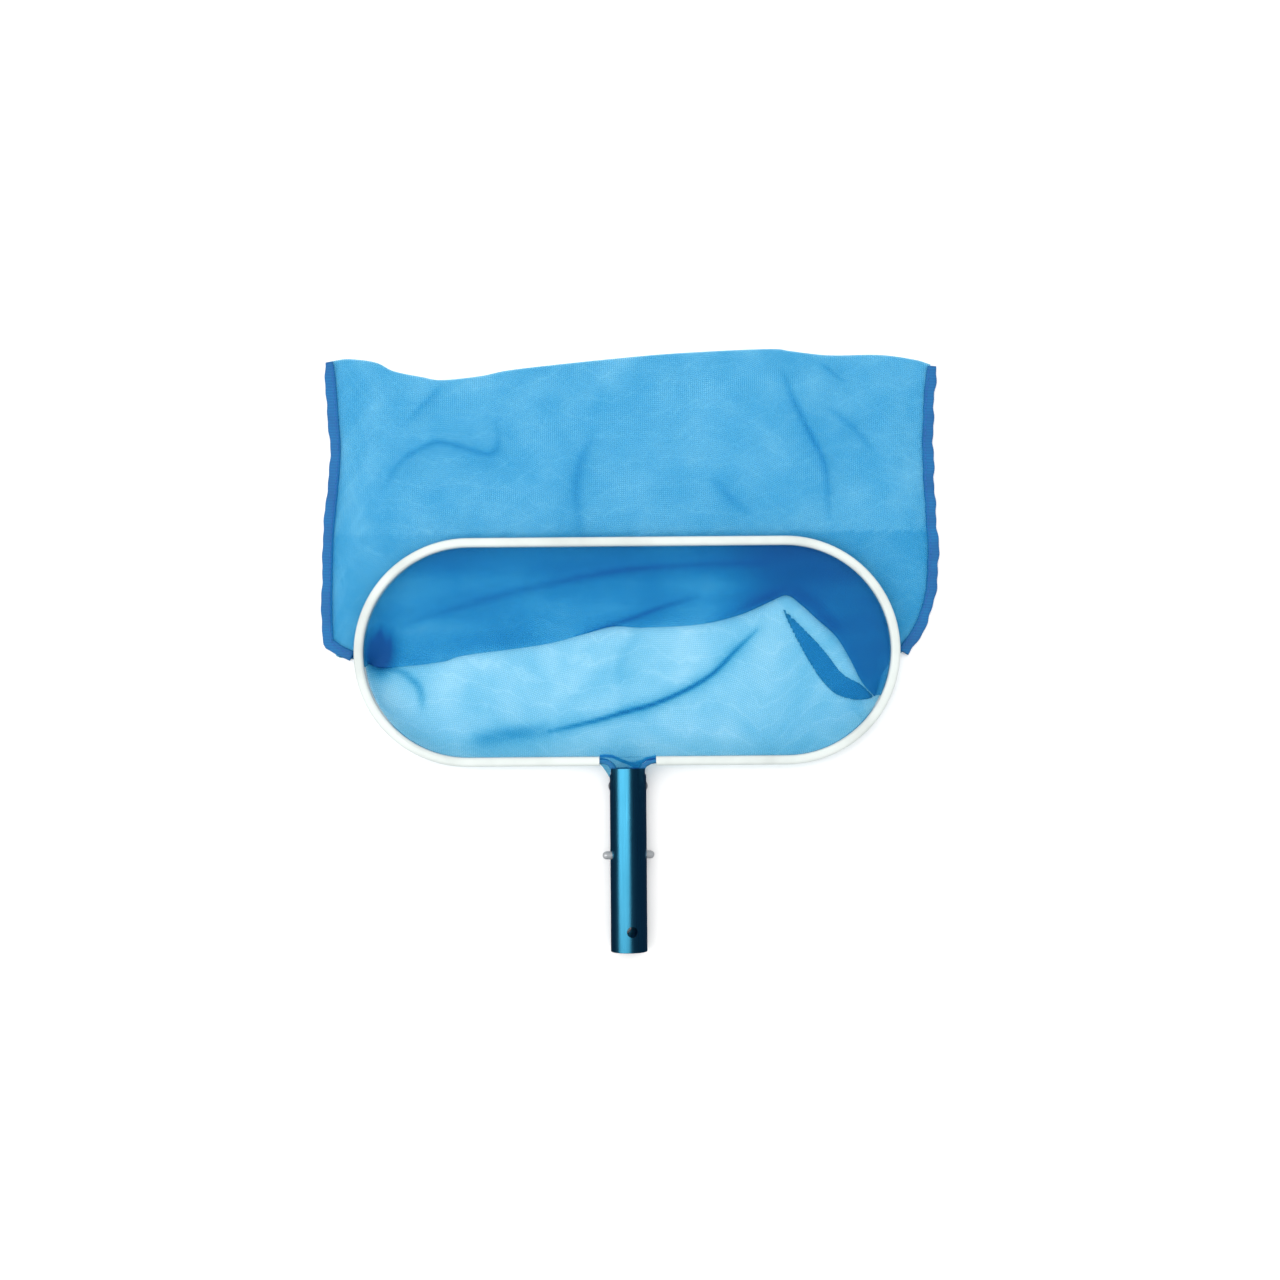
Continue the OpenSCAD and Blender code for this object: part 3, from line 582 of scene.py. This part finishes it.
def metalMaterial(name, colours, rough, grain, bump, metallic=1.0):
    # What it gives the eye: metal with fine drawn lines along the part and small changes of shine
    material = newMaterial(name)
    tree = material.node_tree
    place = addNode(tree, "ShaderNodeTexCoord").outputs["Object"]
    stretched = addNode(tree, "ShaderNodeMapping", {"Vector": place, "Scale": grain}).outputs[0]
    lines = addNode(tree, "ShaderNodeTexNoise", {"Vector": stretched, "Scale": 1.0, "Detail": 5.0}).outputs["Fac"]
    cloudy = addNode(tree, "ShaderNodeTexNoise", {"Vector": place, "Scale": 45.0, "Detail": 4.0}).outputs["Fac"]
    colour = addNode(tree, "ShaderNodeMix", {0: cloudy, 6: hexColour(colours[0]), 7: hexColour(colours[1])},
                     data_type="RGBA").outputs[2]
    shine = addNode(tree, "ShaderNodeMapRange", {"Value": lines, "From Min": 0.3, "From Max": 0.7,
                                                 "To Min": rough[0], "To Max": rough[1]}).outputs[0]
    relief = addNode(tree, "ShaderNodeBump", {"Height": lines, "Strength": bump, "Distance": 0.0001}).outputs[0]
    shader = addNode(tree, "ShaderNodeBsdfPrincipled", {
        "Base Color": colour, "Metallic": metallic, "Roughness": shine, "Normal": relief}).outputs[0]
    addNode(tree, "ShaderNodeOutputMaterial", {"Surface": shader})
    return material


def vinylMaterial(name, pale, grey):
    # What it gives the eye: soft off-white extruded vinyl, a little uneven and slightly soiled
    material = newMaterial(name)
    tree = material.node_tree
    place = addNode(tree, "ShaderNodeTexCoord").outputs["Object"]
    cloudy = addNode(tree, "ShaderNodeTexNoise", {"Vector": place, "Scale": 30.0, "Detail": 5.0}).outputs["Fac"]
    fine = addNode(tree, "ShaderNodeTexNoise", {"Vector": place, "Scale": 900.0, "Detail": 2.0}).outputs["Fac"]
    patchy = addNode(tree, "ShaderNodeMapRange", {"Value": cloudy, "From Min": 0.4, "From Max": 0.75,
                                                  "To Max": 0.55}).outputs[0]
    colour = addNode(tree, "ShaderNodeMix", {0: patchy, 6: hexColour(pale), 7: hexColour(grey)},
                     data_type="RGBA").outputs[2]
    shine = addNode(tree, "ShaderNodeMapRange", {"Value": cloudy, "To Min": 0.32, "To Max": 0.5}).outputs[0]
    relief = addNode(tree, "ShaderNodeBump", {"Height": fine, "Strength": 0.12, "Distance": 0.0002}).outputs[0]
    shader = addNode(tree, "ShaderNodeBsdfPrincipled", {
        "Base Color": colour, "Roughness": shine, "Normal": relief, "Subsurface Weight": 0.05,
        "Subsurface Radius": (0.002, 0.002, 0.002)}).outputs[0]
    addNode(tree, "ShaderNodeOutputMaterial", {"Surface": shader})
    return material


finishes = {
    "handle_tube": metalMaterial("blue anodised aluminium", ("3E97B8", "4AA2C4"), (0.26, 0.36), (1500, 20, 1500),
                                 0.03),
    "frame_rail": metalMaterial("bare extruded aluminium", ("B9BDC1", "D2D5D8"), (0.3, 0.45), (60, 60, 1500), 0.1),
    "edge_trim": vinylMaterial("off-white soft vinyl", "CFD6D3", "AFB6B3"),
    "rivet": metalMaterial("bright aluminium", ("C5C8CB", "D6D8DA"), (0.3, 0.4), (300, 300, 300), 0.05, 0.85),
    "pin": metalMaterial("dull plated steel", ("6B6E70", "85888A"), (0.4, 0.55), (400, 400, 400), 0.15),
    "clip": metalMaterial("blued spring steel", ("8E959C", "A9AFB5"), (0.22, 0.34), (200, 900, 200), 0.06),
    "button": metalMaterial("polished nickel steel", ("C3C6C8", "DADCDD"), (0.3, 0.4), (500, 500, 500), 0.04, 0.55),
}
for name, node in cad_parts.items():
    kind = ("rivet" if name.startswith("leg_rivet") else "pin" if name.startswith("rivet_pin")
            else "button" if name.startswith("clip_button") else "clip" if name.startswith("clip") else name)
    if kind in finishes:
        node.data.materials.clear()
        node.data.materials.append(finishes[kind])
print("stage: frame finishes")

# What rides on what

for piece, slotName in [(bagNet, "mesh_fabric")] + [(h, "hem_fabric") for h in (mouthHem, mouthWeb, hemStitches)] + [
        (b[0], "binding_fabric") for b in bindings] + [(s, "binding_fabric") for s in sewing]:
    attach(piece, "net")
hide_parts("bag_front_panel", "bag_back_panel")
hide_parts("mouth_hem")
for tapePiece, _, sign in bindings:
    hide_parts("side_binding_left" if sign < 0 else "side_binding_right")

# Floor, lights and camera

studio = {"floorSize": 6.0, "distance": 1.341, "aim": (10.3, 243.7, 0.0), "tilt": 2.5, "roll": 0.45, "lens": 47.8}
floorMaterial = newMaterial("matt white floor")
tree = floorMaterial.node_tree
addNode(tree, "ShaderNodeOutputMaterial", {"Surface": addNode(tree, "ShaderNodeBsdfDiffuse", {
    "Color": (0.93, 0.93, 0.93, 1)}).outputs[0]})
s = studio["floorSize"] / 2 / mm
under = floorZ - 0.1
floor = meshObject("floor", [(-s, -s, under), (s, -s, under), (s, s, under), (-s, s, under)], [(0, 1, 2, 3)],
                   floorMaterial)


def areaLight(name, power, size, place, aim, colour=(1, 1, 1)):
    data = bpy.data.lights.new(name, "AREA")
    data.energy, data.shape, data.size, data.size_y, data.color = power, "RECTANGLE", size[0], size[1], colour
    lamp = bpy.data.objects.new(name, data)
    bpy.context.scene.collection.objects.link(lamp)
    lamp.location = place
    lamp.rotation_euler = (Vector(aim) - Vector(place)).to_track_quat("-Z", "Y").to_euler()
    return lamp


centre = (0, 0.26, 0)
overhead = areaLight("overhead", 15, (2.2, 2.0), (0.35, 1.2, 1.7), centre)
overhead.visible_glossy = False
areaLight("side softbox", 11, (0.7, 2.2), (-0.71, 0.1, 1.3), (0, 0.1, 0))
floor.visible_glossy = False

world = bpy.data.worlds.new("studio")
bpy.context.scene.world = world
world.use_nodes = True
world.node_tree.nodes.clear()
tree = world.node_tree
ray = addNode(tree, "ShaderNodeLightPath").outputs["Is Glossy Ray"]
pale = addNode(tree, "ShaderNodeBackground", {"Color": (1, 1, 1, 1), "Strength": 0.95}).outputs[0]
dark = addNode(tree, "ShaderNodeBackground", {"Color": (0.35, 0.45, 0.7, 1), "Strength": 0.1}).outputs[0]
both = addNode(tree, "ShaderNodeMixShader", {0: ray, 1: pale, 2: dark}).outputs[0]
addNode(tree, "ShaderNodeOutputWorld", {"Surface": both})

scene = bpy.context.scene
scene.view_settings.view_transform = "Standard"
scene.cycles.transparent_max_bounces = 32
cameraData = bpy.data.cameras.new("camera")
cameraData.lens, cameraData.sensor_width = studio["lens"], 36
camera = bpy.data.objects.new("camera", cameraData)
scene.collection.objects.link(camera)
tilt = math.radians(studio["tilt"])
aim = Vector(studio["aim"]) * mm
camera.location = aim + Vector((0, -math.sin(tilt), math.cos(tilt))) * studio["distance"]
roll = math.radians(-studio["roll"])
camera.rotation_euler = (Matrix.Rotation(tilt, 4, "X") @ Matrix.Rotation(roll, 4, "Z")).to_euler()
scene.camera = camera
print("stage: studio")
